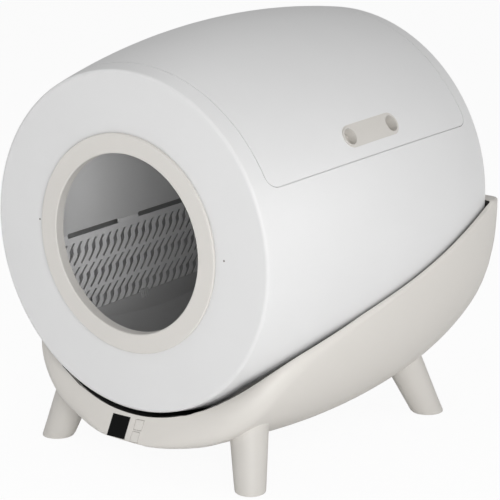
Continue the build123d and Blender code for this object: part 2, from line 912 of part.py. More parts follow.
with BuildPart() as entrance_ring:
    with BuildSketch(radial_plane(0)):
        with BuildLine():
            Polyline(
                (entrance_radius, -ring_proud),
                (ring_outer_radius, -ring_proud),
                (ring_outer_radius, -ring_groove),
                (ring_outer_radius - ring_groove, -ring_groove),
                (ring_outer_radius - ring_groove, 0),
                (entrance_radius + ring_wall, 0),
                (entrance_radius + ring_wall, ring_depth),
                (entrance_radius, ring_depth),
                close=True,
            )
        make_face()
        fillet(
            [
                entrance_ring_corner
                for entrance_ring_corner in vertices()
                if abs(entrance_ring_corner.Y + ring_proud) < edge_tolerance
            ],
            radius=ring_edge_fillet,
        )
    revolve(axis=drum_axis)
write(entrance_ring.part, "entrance_ring")

# Lid over the waste bin, with the handle let into it
with BuildPart() as handle_outline:
    with BuildSketch(tangent_plane(drum_belly_radius + cut_overrun, handle_elevation, handle_place)):
        SlotOverall(handle_length, handle_height)
    extrude(amount=-2 * cut_overrun)

with BuildPart() as drum_lid:
    add(around_lid(-lid_wall, 0, 0, hinge_seam_gap - lid_seam_gap))
    add(handle_outline.part, mode=Mode.SUBTRACT)
    add(hinge_strip(-lid_wall, 0, hinge_tongue_width / 2, -hinge_tongue_width, hinge_pin_radius))
    for place in hinge_places:
        with BuildSketch(hinge_plane(place - hinge_tongue_width / 2)):
            Circle(hinge_knuckle_radius)
            Circle(hinge_pin_radius + running_clearance, mode=Mode.SUBTRACT)
        extrude(amount=-hinge_tongue_width)
    add(lid_magnets, mode=Mode.SUBTRACT)
write(drum_lid.part, "drum_lid")

hole_offsets = [-finger_hole_spacing / 2, finger_hole_spacing / 2]
with BuildPart() as lid_handle:
    add(around_lid(-handle_sunk - handle_plate, -handle_sunk, 0))
    add(handle_outline.part, mode=Mode.INTERSECT)
    handle_radius = radius_at(side, handle_place)
    handle_back = handle_radius - handle_sunk - handle_plate
    with BuildSketch(tangent_plane(handle_back, handle_elevation, handle_place)):
        with Locations(*[(along_handle, 0) for along_handle in hole_offsets]):
            Circle(finger_hole_radius + finger_cup_wall)
    extrude(amount=handle_plate / 2, both=False)
    with BuildSketch(tangent_plane(handle_radius - handle_plate, handle_elevation, handle_place)):
        with Locations(*[(along_handle, 0) for along_handle in hole_offsets]):
            Circle(finger_hole_radius + finger_cup_wall)
    extrude(amount=-finger_cup_depth)
    with BuildSketch(tangent_plane(handle_radius + handle_plate, handle_elevation, handle_place)):
        with Locations(*[(along_handle, 0) for along_handle in hole_offsets]):
            Circle(finger_hole_radius)
    extrude(amount=-finger_cup_depth - handle_plate, mode=Mode.SUBTRACT)
write(lid_handle.part, "lid_handle")

# Inside the drum: rear panel, grey litter liner, sieve screen, waste wall, ceiling and waste bin
with BuildPart() as rear_panel:
    add(turned(side, -drum_wall, rear_panel_place, rear_panel_place + rear_panel_wall))
write(rear_panel.part, "rear_panel")

screen_turn = radians(180 + screen_tilt)
screen_middle = (screen_front_place + screen_rear_place) / 2
screen_length = screen_rear_place - screen_front_place
liner_room = -drum_wall - seat_gap
liner_face = liner_room - liner_wall


def screen_origin(place):
    """The point of the screen's inner face that is nearest the drum's axis."""
    return (
        screen_distance * cos(screen_turn),
        along(place),
        drum_axis_height + screen_distance * sin(screen_turn),
    )


def screen_plane(height=0):
    """A plane at a height over the screen's inner face: X to the rear, Y up the screen."""
    inwards = (-cos(screen_turn), 0, -sin(screen_turn))
    return Plane(origin=screen_origin(screen_middle), x_dir=(0, 1, 0), z_dir=inwards).offset(height)


def screen_section(place):
    """A plane across the screen: X inwards from its face, Y up the screen."""
    inwards = (-cos(screen_turn), 0, -sin(screen_turn))
    return Plane(origin=screen_origin(place), x_dir=inwards, z_dir=(0, -1, 0))


with BuildPart() as litter_liner:
    add(turned(side, liner_room, drum_wall + seat_gap, rear_panel_place - seat_gap))
    add(turned(side, liner_face, 0, rear_panel_place - liner_wall), mode=Mode.SUBTRACT)
    liner_top = drum_belly_radius * sin(radians(liner_top_elevation))
    split(bisect_by=Plane.XY.offset(drum_axis_height + liner_top), keep=Keep.BOTTOM)
    hinge_drop = hinge_depth + hinge_end_gap
    for place in hinge_places:
        hinge_x, hinge_y, hinge_z = around(hinge_radius, hinge_elevation, place)
        with BuildSketch(Plane.XZ.offset(-hinge_y)):
            with Locations((hinge_x, hinge_z - hinge_drop)):
                Rectangle(2 * cut_overrun, cut_overrun, align=(Align.CENTER, Align.MIN))
        extrude(
            amount=hinge_ear_start + hinge_ear_width + hinge_side_gap, both=True, mode=Mode.SUBTRACT
        )
    with BuildPart(mode=Mode.PRIVATE) as screen_ledge:
        with BuildSketch(screen_section(screen_front_place)):
            with BuildLine():
                Polyline(
                    (0, -ledge_drop),
                    (ledge_wall, -ledge_drop),
                    (ledge_wall, -ledge_drop - ledge_height),
                    (ledge_wall - ledge_step, -ledge_drop - ledge_height),
                    (ledge_wall - ledge_step, -drum_belly_radius),
                    (-screen_wall, -drum_belly_radius),
                    (-screen_wall, -screen_height - seat_gap),
                    (0, -screen_height - seat_gap),
                    close=True,
                )
            make_face()
        extrude(amount=-screen_length)
        clip_top = clip_hold - ledge_drop
        with BuildSketch(screen_plane(seat_gap)):
            with Locations((0, clip_top)):
                Rectangle(clip_length, clip_height, align=(Align.CENTER, Align.MAX))
        extrude(amount=ledge_wall + clip_proud - seat_gap)
        with BuildSketch(screen_plane(ledge_wall + clip_proud)):
            with Locations(*[(rib * clip_rib_pitch, clip_top) for rib in (-1, 0, 1)]):
                Rectangle(clip_rib_width, clip_height, align=(Align.CENTER, Align.MAX))
        extrude(amount=clip_rib_proud)
        add(turned(side, liner_room, drum_wall + seat_gap, rear_panel_place - seat_gap), mode=Mode.INTERSECT)
    add(screen_ledge.part)
write(litter_liner.part, "litter_liner")

# Sieve screen: rows of bent slots, each row a step further to the front than the one above it
def slot_bends(row, lead_shares):
    """Where the slots of a row have their bends on the screen, clear of its edges."""
    height = -slot_first_bend - row * slot_row_drop
    back = max(x_share for x_share, y_share in lead_shares) * slot_pitch
    front, foot = (min(shares) * slot_pitch for shares in zip(*slot_body_shares))
    bends = []
    for column in range(-int(screen_length / slot_pitch), int(screen_length / slot_pitch)):
        across = column * slot_pitch - row * slot_row_shift
        room = radius_at(side, screen_middle + across + front, liner_face) - slot_rim
        on_screen = -screen_length / 2 + slot_margin - front < across < screen_length / 2 - slot_margin - back
        if on_screen and hypot(screen_distance, height + foot) < room:
            bends.append((across, height))
    return bends


with BuildPart() as sieve_screen:
    with BuildSketch(screen_plane()):
        with Locations((0, -screen_height / 2)):
            Rectangle(screen_length, screen_height)
        for row in range(slot_rows):
            lead_shares = slot_lead_shares if row else top_lead_shares
            shares = slot_body_shares + lead_shares
            outline = [(x_share * slot_pitch, y_share * slot_pitch) for x_share, y_share in shares]
            with Locations(*slot_bends(row, lead_shares)):
                Polygon(*outline, align=None, mode=Mode.SUBTRACT)
    extrude(amount=-screen_wall)
    add(turned(side, liner_face, drum_wall, rear_panel_place), mode=Mode.INTERSECT)
write(sieve_screen.part, "sieve_screen")

# The smooth waste wall from the screen's top to the chute's mouth, notched along its foot
with BuildPart() as waste_wall:
    foot_x, foot_y, foot_z = screen_origin(screen_front_place)
    head_z = drum_axis_height + chute_top_height
    head_x = foot_x + (head_z - foot_z) * tan(radians(chute_lean))
    with BuildSketch(Plane.XZ.offset(-foot_y)):
        with BuildLine():
            Polyline(
                (foot_x, foot_z),
                (head_x, head_z),
                (head_x - chute_wall, head_z),
                (foot_x - chute_wall, foot_z + seat_gap),
                close=True,
            )
        make_face()
    extrude(amount=-screen_length)
    with BuildSketch(Plane.YZ.offset(foot_x - cut_overrun)):
        notch_shift = (chute_slot_length + chute_slot_gap) / 2
        with Locations(*[(along(screen_middle) + hand * notch_shift, foot_z) for hand in (-1, 1)]):
            Rectangle(chute_slot_length, 2 * chute_slot_height)
    extrude(amount=2 * cut_overrun, mode=Mode.SUBTRACT)
    add(turned(side, liner_face, drum_wall, rear_panel_place), mode=Mode.INTERSECT)
write(waste_wall.part, "waste_wall")

# The ceiling over the litter chamber, which carries the waste bin
with BuildPart() as waste_ceiling:
    with BuildSketch(cross_plane(drum_wall)):
        with BuildLine():
            Polyline(
                (-ceiling_edge, ceiling_height),
                (ceiling_bend, ceiling_height),
                (drum_belly_radius, ceiling_height - ceiling_drop),
                (drum_belly_radius, ceiling_height - ceiling_drop - ceiling_wall),
                (ceiling_bend, ceiling_height - ceiling_wall),
                (-ceiling_edge, ceiling_height - ceiling_wall),
                close=True,
            )
        make_face()
    extrude(amount=drum_wall - rear_panel_place)
    add(turned(side, -drum_wall, drum_wall, rear_panel_place), mode=Mode.INTERSECT)
    add(drum_shell.part, mode=Mode.SUBTRACT)
    add(litter_liner.part, mode=Mode.SUBTRACT)
    add(sill_magnets, mode=Mode.SUBTRACT)
write(waste_ceiling.part, "waste_ceiling")


def bin_form(inset, floor):
    """The waste bin's outer form, drawn in by an inset, from a floor height up."""
    with BuildPart() as body:
        with BuildSketch(level.offset(floor)):
            with Locations(((bin_right - bin_left) / 2, along((bin_front_place + bin_rear_place) / 2))):
                RectangleRounded(
                    bin_left + bin_right - 2 * inset,
                    bin_rear_place - bin_front_place - 2 * inset,
                    bin_corner - inset,
                )
        extrude(amount=bin_height - floor + ceiling_height)
        add(
            turned(side, -drum_wall - sill_wall - seat_gap - inset, bin_front_place, bin_rear_place),
            mode=Mode.INTERSECT,
        )
    return body.part


with BuildPart() as waste_bin:
    add(bin_form(0, ceiling_height))
    add(bin_form(bin_wall, ceiling_height + bin_wall), mode=Mode.SUBTRACT)
write(waste_bin.part, "waste_bin")
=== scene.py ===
import json
import math

import bmesh
import bpy
import numpy as np
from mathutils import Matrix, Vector

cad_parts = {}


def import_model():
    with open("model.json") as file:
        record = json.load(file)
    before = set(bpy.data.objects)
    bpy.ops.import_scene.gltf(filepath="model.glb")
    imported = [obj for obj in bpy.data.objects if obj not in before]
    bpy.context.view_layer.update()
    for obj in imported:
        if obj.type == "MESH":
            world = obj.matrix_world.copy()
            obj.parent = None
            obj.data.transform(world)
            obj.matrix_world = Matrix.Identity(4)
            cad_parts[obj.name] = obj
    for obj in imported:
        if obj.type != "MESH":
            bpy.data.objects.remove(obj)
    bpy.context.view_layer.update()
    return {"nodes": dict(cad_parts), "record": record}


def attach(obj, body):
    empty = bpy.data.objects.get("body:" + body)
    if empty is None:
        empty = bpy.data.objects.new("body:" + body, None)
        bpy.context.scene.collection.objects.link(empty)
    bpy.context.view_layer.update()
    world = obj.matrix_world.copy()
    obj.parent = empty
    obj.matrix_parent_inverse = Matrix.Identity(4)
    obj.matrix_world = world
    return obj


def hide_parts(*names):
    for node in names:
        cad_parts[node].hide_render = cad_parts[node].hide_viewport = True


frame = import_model()

MM = 0.001

# Camera, in metres: the photograph's viewing angle, worked out from the drum's round face
CAMERA_PLACE = (1.7100, -2.2430, 1.0735)
CAMERA_FORWARD = (-0.58077, 0.76481, -0.27886)
CLIP_NEAR, CLIP_FAR = 0.05, 50
FOCAL_PIXELS = 2058
PICTURE_PIXELS = 500
SENSOR_MM = 36

# Studio, in metres and watts: the white all round, the point that the lamps face, and each one's place, width
# and power
STUDIO_STRENGTH = 0.35
LAMP_TARGET = (0, 0, 0.3)
LAMPS = {
    "key_lamp": ((2.05, -1.9, 1.05), 1.3, 28),
    "low_lamp": ((2.0, -1.75, 0.45), 1.4, 6),
    "left_lamp": ((-1.9, -1.2, 1.9), 1.5, 11),
    "side_lamp": ((2.4, 0.9, 0.9), 1.4, 11),
    "front_lamp": ((0.9, -2.5, 0.4), 1.1, 7.5),
    "top_lamp": ((-0.4, 0.2, 2.6), 1.6, 7),
}

# Floor, in metres: its half width, its grey and roughness, and the share of pure white that the camera sees on it
FLOOR_REACH, FLOOR_GREY, FLOOR_ROUGHNESS, FLOOR_WHITE = 12, 0.93, 0.9, 0.94

# Moulded plastic: the scale and detail of its colour's drift and of its grain, the share that gloss drifts by, and
# the grain's height in metres
DRIFT_SCALE, DRIFT_DETAIL, GLOSS_DRIFT = 9, 3, 0.06
GRAIN_SCALE, GRAIN_DETAIL, GRAIN_HEIGHT = 1400, 2, 0.0001
COAT_ROUGHNESS = 0.25
DISPLAY_SPECULAR = 0.12

# Meshes: points closer than the first length are merged and shorter edges than the second are dropped, in metres
MERGE_REACH, SHORTEST_EDGE = 0.000002, 0.000001
SHARP_ANGLE, CONTROL_SHARP_ANGLE = 35, 25

# From here on lengths are in millimetres and angles in degrees, unless a comment says otherwise. A place is
# counted from the drum's front face to the rear, and a height from the drum's axis upwards.
AXIS_HEIGHT = 323.0
FACE_Y = -259.55
DRUM_MIDDLE = 250

# The drum's side, an arc of a large circle: its centre's height and place, and its radius
DRUM_SIDE = (-1009.685, 291.248, 1275.385)

# The hollow round the drum: its gap to the drum at three places
HOLLOW_PLACES, HOLLOW_GAPS = (-60, 0, 200), (7.4, 7, 5)

# The cradle's oval sections: place, half width, depth, and how full their corners are
BOWL_PLACES = (-26, 40, 110, 200, 300, 390, 460, 532)
BOWL_HALF_WIDTHS = (221, 232, 247, 260, 268.4, 268.4, 265, 253)
BOWL_DEPTHS = (276.5, 282.5, 295, 303, 303, 297, 285, 264)
BOWL_FULLNESS = (3.05, 2.86, 2.68, 2.62, 2.62, 2.59, 2.54, 2.47)
CURVE_ORDER = 5
CRADLE_REAR = 532

# The cradle's rim, and the flat deck that it ends in
RIM_PLACES = (-30, 20, 38, 73, 128, 265, 384, 500, 520)
RIM_HEIGHTS = (-214, -171, -159, -138.8, -116.6, -79.3, -46.5, -11.5, -6)
DECK_START, DECK_PLACE, DECK_HEIGHT = 494, 508, -6

# The cradle's leaning front: its height at the drum's face and its slope, the flat part that it bows back from,
# the bow, and how far all of it is sunk
PANEL_HEIGHT, PANEL_SLOPE = -239, 3
PANEL_MIDDLE, PANEL_FLAT, PANEL_BOW, PANEL_SUNK = -2, 30, 0.00035, 0.4

# Reaches of the cradle's roundings: at its rear, where the front meets the rim, and along the upper edge, which
# has a little more before the rear, and much more at the front away from the display
REAR_REACH, TOP_REACH, EDGE_REACH = 8, 40, 5
SIDE_ADDED, SIDE_FADES = 2, (400, 500)
FRONT_ADDED, FRONT_GROWS, FRONT_FADES = 23, (30, 110), (40, 260)

# The cradle's skin: where its rays start, their length, its rows and columns, how closely the rows crowd at the
# rim, the range of rises in radians that the rim is looked for in, and its wall
SKIN_START = (0, DRUM_MIDDLE, -170.0)
SKIN_REACH, SKIN_COLUMNS, SKIN_ROWS, SKIN_CROWDING = 700, 420, 112, 1.35
RIM_LOWEST, RIM_HIGHEST, RIM_HALVINGS, RAY_HALVINGS = -0.6, 1.45, 30, 34
SKIN_WALL = 2.6

# The wells of the buttons: their width as a share of the cap's, and how far they reach out of the skin and into it
WELL_SHARE, WELL_OUT, WELL_IN = 1.07, 6, 9

# The tray: its first and last place, how far it lies outside the hollow and under the rim, and its rows and columns
TRAY_START, TRAY_STOP = 1, 506
TRAY_OUT, TRAY_UNDER_RIM = 0.6, 1.5
TRAY_ROWS, TRAY_COLUMNS, TRAY_REAR_ROWS = 90, 121, 12

# The legs: the foot's middle, and how far each leans outwards and along
LEGS = {
    "front_left_leg": (-172.5, 42, 14.2, 16.4),
    "front_right_leg": (172.5, 42, 14.2, 16.4),
    "rear_left_leg": (-197, 442, 18.4, -18.4),
    "rear_right_leg": (197, 442, 18.4, -18.4),
}
LEG_RADIUS, LEG_TAPER, LEG_HOLD, LEG_REACH, LEG_COLUMNS = 21.2, 3.7, 1.5, 150, 96
LEG_RISES = (0, 14, 30, 40)
FOOT_LIFT, FOOT_ROUNDING, FOOT_FULLNESS = 1.0, 1.6, 0.55

# The sieve screen: the middle of its top edge, its lean, its edges up the slope, and its distance from the axis
SCREEN_TOP = (-212.4, DRUM_MIDDLE, -51.6)
SCREEN_LEAN = 13.65
SCREEN_HALF_LENGTH, SCREEN_LOW, SCREEN_HIGH = 216, -124, -4.9
SCREEN_DISTANCE, SIEVE_CLEAR, SIEVE_WALL = 218.6, 9, 1.2

# Its slots, in three rows of bends that are given as shares of the pitch. No slot lies closer to the ends than the
# margin, one that overruns the drum's side by less than the overrun is cut short there, and a strip closes it.
SLOT_PITCH, SLOT_ROWS, SLOT_ROW_DROP, SLOT_ROW_SHIFT, SLOT_FIRST_BEND = 16, 3, 37.4, 6.7, 28
SLOT_COLUMNS = (-20, 22)
SLOT_MARGIN, SLOT_OVERRUN, FOOT_STRIP = 5, 14, 1.5
SLOT_LEFT = ((0.68, 1.10), (-0.16, 0.49), (-0.55, 0.28), (-0.56, -0.13), (-0.68, -0.34), (-1.39, -0.94))
SLOT_RIGHT = ((0.92, 1.03), (0.07, 0.40), (0, 0), (-0.24, -0.26), (-0.49, -0.49), (-1.21, -1.08))
TOP_SLOT_LEFT = ((0.12, 0.91), (-0.21, 0.63)) + SLOT_LEFT[2:]
TOP_SLOT_RIGHT = ((0.44, 0.91), (0.06, 0.54)) + SLOT_RIGHT[2:]

# The waste wall over the screen: its top and lean, its two notches, a row part way up, and its wall
WALL_TOP, WALL_LEAN, WALL_ROW, WASTE_WALL = 80, 24, 0.25, 2.5
NOTCH_TOP, NOTCH_LENGTH, NOTCH_GAP = 2.8, 112, 44

# The controls on the cradle's front: body, slot, the CAD node, how far each stands proud, its depth, and its
# corners as x and height, from the top left round to the bottom left
CONTROLS = {
    "display_glass": ("base", "display_black", "display_window", 0.5, 2, (
        (-28.8, -244.3), (1.9, -243.7), (-2, -273.6), (-32.8, -274.2))),
    "control_board_plate": ("base", "board_green", "control_board", -7, 1.6, (
        (-34, -246), (28, -246), (24, -271), (-36, -271))),
    "upper_button_cap": ("upper_button", "cradle_beige", "upper_button", 0.3, 4, (
        (11.8, -244.2), (26, -243.4), (24, -256.8), (10.6, -257.4))),
    "lower_button_cap": ("lower_button", "cradle_beige", "lower_button", 0.3, 4, (
        (9.6, -260.3), (22, -259.8), (20.4, -273.2), (8.2, -273.7))),
}
CONTROL_INSET, CONTROL_SOFTENING = 0.96, 0.3

# The pin-holes beside the trim ring: x and height of each, their radius, and their discs' faces. The discs' dark
# grey is painted shade for the holes.
PIN_HOLES = {"left_pin_hole": (-155.9, 8.2), "right_pin_hole": (162.2, 5.4)}
PIN_HOLE_RADIUS, PIN_HOLE_PROUD, PIN_HOLE_DEPTH, PIN_HOLE_COLUMNS = 1.5, 0.1, 0.5, 24


def add_camera():
    """The camera that takes the photograph's view."""
    data = bpy.data.cameras.new("camera")
    data.sensor_width = SENSOR_MM
    data.lens = FOCAL_PIXELS / PICTURE_PIXELS * SENSOR_MM
    data.clip_start, data.clip_end = CLIP_NEAR, CLIP_FAR
    camera = bpy.data.objects.new("camera", data)
    bpy.context.scene.collection.objects.link(camera)
    camera.location = CAMERA_PLACE
    camera.rotation_mode = "QUATERNION"
    camera.rotation_quaternion = Vector(CAMERA_FORWARD).to_track_quat("-Z", "Y")
    bpy.context.scene.camera = camera


def node_shader(name):
    """A new node material, its node tree and its shader."""
    material = bpy.data.materials.new(name)
    material.use_nodes = True
    tree = material.node_tree
    return material, tree, tree.nodes["Principled BSDF"]


def moulded(name, colour, roughness, grain=0.15, mottle=0.02, coat=0.0):
    """Moulded plastic: a fine spark-eroded grain in the bump, and a faint drift of colour and gloss."""
    material, tree, shader = node_shader(name)
    nodes, links = tree.nodes, tree.links
    place = nodes.new("ShaderNodeTexCoord")
    drift = nodes.new("ShaderNodeTexNoise")
    drift.inputs["Scale"].default_value = DRIFT_SCALE
    drift.inputs["Detail"].default_value = DRIFT_DETAIL
    links.new(place.outputs["Object"], drift.inputs["Vector"])
    ramp = nodes.new("ShaderNodeMix")
    ramp.data_type = "RGBA"
    ramp.inputs[6].default_value = (*[channel * (1 - mottle) for channel in colour], 1)
    ramp.inputs[7].default_value = (*[min(channel * (1 + mottle), 1) for channel in colour], 1)
    links.new(drift.outputs["Fac"], ramp.inputs[0])
    links.new(ramp.outputs[2], shader.inputs["Base Color"])
    gloss = nodes.new("ShaderNodeMapRange")
    gloss.inputs["To Min"].default_value = roughness * (1 - GLOSS_DRIFT)
    gloss.inputs["To Max"].default_value = roughness * (1 + GLOSS_DRIFT)
    links.new(drift.outputs["Fac"], gloss.inputs["Value"])
    links.new(gloss.outputs["Result"], shader.inputs["Roughness"])
    fine = nodes.new("ShaderNodeTexNoise")
    fine.inputs["Scale"].default_value = GRAIN_SCALE
    fine.inputs["Detail"].default_value = GRAIN_DETAIL
    links.new(place.outputs["Object"], fine.inputs["Vector"])
    bump = nodes.new("ShaderNodeBump")
    bump.inputs["Strength"].default_value = grain
    bump.inputs["Distance"].default_value = GRAIN_HEIGHT
    links.new(fine.outputs["Fac"], bump.inputs["Height"])
    links.new(bump.outputs["Normal"], shader.inputs["Normal"])
    shader.inputs["Coat Weight"].default_value = coat
    shader.inputs["Coat Roughness"].default_value = COAT_ROUGHNESS
    return material


def grey(level, warm=0.0):
    """A linear colour from a display level out of 255.

    For a warm tone green is held back by a share, and blue by 2.6 times as much.
    """
    def linear(value):
        value /= 255
        return value / 12.92 if value <= 0.04045 else ((value + 0.055) / 1.055) ** 2.4
    return tuple(linear(level * (1 - warm * step)) for step in (0, 1, 2.6))


# One finish for each material slot, and five more for pieces whose tone differs from their slot's
# Four of the five hold painted light: the tray, the legs and the pin-holes' discs are darkened with painted shade,
# and the waste wall is lightened with painted light.
finishes = {
    "drum_white": moulded("drum_white", grey(226), 0.42, coat=0.1),
    "trim_beige": moulded("trim_beige", grey(218, 0.014), 0.45),
    "cradle_beige": moulded("cradle_beige", grey(217, 0.016), 0.46),
    "liner_grey": moulded("liner_grey", grey(205), 0.5),
    "sieve_grey": moulded("sieve_grey", grey(246), 0.5),
    "rubber_black": moulded("rubber_black", grey(50), 0.8, grain=0.5),
    "steel": moulded("steel", grey(180), 0.3),
    "display_black": moulded("display_black", grey(14), 0.3, grain=0.02),
    "board_green": moulded("board_green", (0.02, 0.12, 0.05), 0.5),
    "gear_grey": moulded("gear_grey", grey(170), 0.45),
    "roller_grey": moulded("roller_grey", grey(150), 0.5),
    "motor_dark": moulded("motor_dark", grey(45), 0.5),
    # Painted shade: a dark tone for the tray, standing in for the deep shadow in the gap under the drum
    "painted_shade_tray": moulded("painted_shade_tray", grey(48, 0.02), 0.6),
    # Painted light: a lighter copy of the sieve's grey for the waste wall, which faces down and gets little light
    "painted_light_wall": moulded("painted_light_wall", grey(250), 0.5),
    # Painted shade: the cradle's beige made darker for the legs, which face the lamps
    "painted_shade_leg": moulded("painted_shade_leg", grey(207, 0.016), 0.46),
    "handle_beige": moulded("handle_beige", grey(209, 0.016), 0.45),
    # Painted shade: a dark grey for the pin-holes' discs, standing in for the inside of the holes
    "painted_hole_shade": moulded("painted_hole_shade", grey(140, 0.02), 0.6),
}
for finish, socket, value in (("steel", "Metallic", 1), ("display_black", "Specular IOR Level", DISPLAY_SPECULAR)):
    finishes[finish].node_tree.nodes["Principled BSDF"].inputs[socket].default_value = value


def dress_cad_nodes():
    """Gives every carried-over CAD node the finish of its material slot."""
    for entry in frame["record"]["subparts"]:
        piece = frame["nodes"][entry["node"]]
        piece.data.materials.clear()
        piece.data.materials.append(finishes[entry["material_slot"]])
    # The tray gets a dark tone of painted shade, for the gap under the drum
    frame["nodes"]["cradle_tray"].data.materials[0] = finishes["painted_shade_tray"]
    frame["nodes"]["lid_handle"].data.materials[0] = finishes["handle_beige"]


def ease(value, low, high):
    """A soft step: 0 up to the low value, 1 from the high one, with level ends."""
    share = np.clip((value - low) / (high - low), 0, 1)
    return share * share * (3 - 2 * share)


def soft_most(a, b, reach):
    """The larger of two surfaces' distances, rounded where they differ by less than a reach."""
    share = np.clip(1 - abs(a - b) / reach, 0, 1)
    return np.maximum(a, b) + share * share * reach / 4


def smooth_through(places, values, at):
    """A smooth polynomial curve, fitted through values at places."""
    middle, half = (places[0] + places[-1]) / 2, (places[-1] - places[0]) / 2
    fit = np.polyfit((np.array(places) - middle) / half, values, CURVE_ORDER)
    return np.polyval(fit, np.clip((at - middle) / half, -1, 1))


def drum_radius(place):
    """The radius of the drum's bulging side at a place: an arc of a large circle."""
    centre, middle, radius = DRUM_SIDE
    return centre + np.sqrt(radius ** 2 - (place - middle) ** 2)


def hollow_radius(place):
    """The radius of the hollow round the drum: the drum's, and a gap that is wider at the front."""
    return drum_radius(place) + np.interp(place, HOLLOW_PLACES, HOLLOW_GAPS)


def panel_height(place):
    """The height of the cradle's leaning front at a place, where it is flat."""
    return PANEL_HEIGHT + PANEL_SLOPE * place


def rim_height(place):
    """The height of the rim at a place: a slope that steepens at the front, and a flat deck at the rear."""
    slope = smooth_through(RIM_PLACES, RIM_HEIGHTS, place)
    return slope + (DECK_HEIGHT - slope) * ease(place, DECK_START, DECK_PLACE)


def cradle_side(x, place, height):
    """How far a point lies outside the cradle: past its oval sections, its rear, its leaning front or its rim.

    The front is flat round the display and bows back to its sides, where its edge is rounded more.
    """
    half_width = smooth_through(BOWL_PLACES, BOWL_HALF_WIDTHS, place)
    depth = smooth_through(BOWL_PLACES, BOWL_DEPTHS, place)
    full = smooth_through(BOWL_PLACES, BOWL_FULLNESS, place)
    share = ((abs(x) / half_width) ** full + (abs(height) / depth) ** full) ** (1 / full)
    oval = (share - 1) * (half_width + depth) / 2
    body = soft_most(oval, place - CRADLE_REAR, REAR_REACH)
    across = abs(x - PANEL_MIDDLE)
    bow = PANEL_BOW * np.maximum(across - PANEL_FLAT, 0) ** 2
    panel = (height - panel_height(place - bow)) / math.hypot(1, PANEL_SLOPE) + PANEL_SUNK
    top = soft_most(panel, height - rim_height(place), TOP_REACH)
    front = FRONT_ADDED * ease(across, *FRONT_GROWS) * (1 - ease(place, *FRONT_FADES))
    edge = EDGE_REACH + SIDE_ADDED * (1 - ease(place, *SIDE_FADES)) + front
    return soft_most(body, top, edge)


def along_rays(start, rays, outside, reach):
    """Points where rays from inside a form leave it, each found by halving its length again and again."""
    near, far = np.zeros(rays.shape[:-1]), np.full(rays.shape[:-1], float(reach))
    for _ in range(RAY_HALVINGS):
        length = (near + far) / 2
        point = start + rays * length[..., None]
        out = outside(*np.moveaxis(point, -1, 0)) > 0
        near, far = np.where(out, near, length), np.where(out, length, far)
    return start + rays * near[..., None]


def ray(turn, rise):
    """Directions from a turn in plan and a rise over the level, with place as their second axis."""
    level = np.cos(rise)
    return np.stack([level * np.sin(turn), level * np.cos(turn), np.sin(rise) + 0 * turn], axis=-1)


def world(point):
    """Points given as x, place and height over the axis, in the world's millimetres."""
    return point + np.array([0, FACE_Y, AXIS_HEIGHT])


def surface_piece(name, points, body, slot, replaced=(), around=False, kept=None, sharp=SHARP_ANGLE):
    """A piece from a grid of points: four-cornered faces between neighbouring rows and columns.

    Where its columns go around, the last meets the first. Points that fall together are merged.
    """
    rows, columns = points.shape[:2]
    number = np.arange(rows * columns).reshape(rows, columns)
    if around:
        number = np.concatenate([number, number[:, :1]], axis=1)
    faces = np.stack([number[:-1, :-1], number[:-1, 1:], number[1:, 1:], number[1:, :-1]], axis=-1)
    faces = faces[kept] if kept is not None else faces.reshape(-1, 4)
    mesh = bpy.data.meshes.new(name)
    mesh.from_pydata((points.reshape(-1, 3) * MM).tolist(), [], faces.tolist())
    work = bmesh.new()
    work.from_mesh(mesh)
    bmesh.ops.remove_doubles(work, verts=work.verts, dist=MERGE_REACH)
    bmesh.ops.dissolve_degenerate(work, edges=work.edges, dist=SHORTEST_EDGE)
    loose = [vert for vert in work.verts if not vert.link_faces]
    bmesh.ops.delete(work, geom=loose, context="VERTS")
    bmesh.ops.recalc_face_normals(work, faces=work.faces)
    work.to_mesh(mesh)
    work.free()
    mesh.shade_smooth()
    mesh.set_sharp_from_angle(angle=math.radians(sharp))
    piece = bpy.data.objects.new(name, mesh)
    bpy.context.scene.collection.objects.link(piece)
    mesh.materials.append(finishes[slot])
    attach(piece, body)
    if replaced:
        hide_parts(*replaced)
    return piece


def face_outwards(piece, centre):
    """Turns an open skin's faces so that they point away from a centre."""
    mesh = piece.data
    place = np.zeros(len(mesh.polygons) * 3)
    turned = np.zeros(len(mesh.polygons) * 3)
    mesh.polygons.foreach_get("center", place)
    mesh.polygons.foreach_get("normal", turned)
    away = place.reshape(-1, 3) - centre * MM
    if (away * turned.reshape(-1, 3)).sum() < 0:
        mesh.flip_normals()


def face_drum_middle(piece):
    """Turns an open skin's faces so that they point to the drum's middle."""
    face_outwards(piece, world(np.array([0, DRUM_MIDDLE, 0])))
    piece.data.flip_normals()


def thicken(piece, thickness, even=False):
    """Gives an open skin its wall, on the side that its faces point away from."""
    wall = piece.modifiers.new("wall", "SOLIDIFY")
    wall.thickness = thickness * MM
    wall.offset = -1
    wall.use_even_offset = even


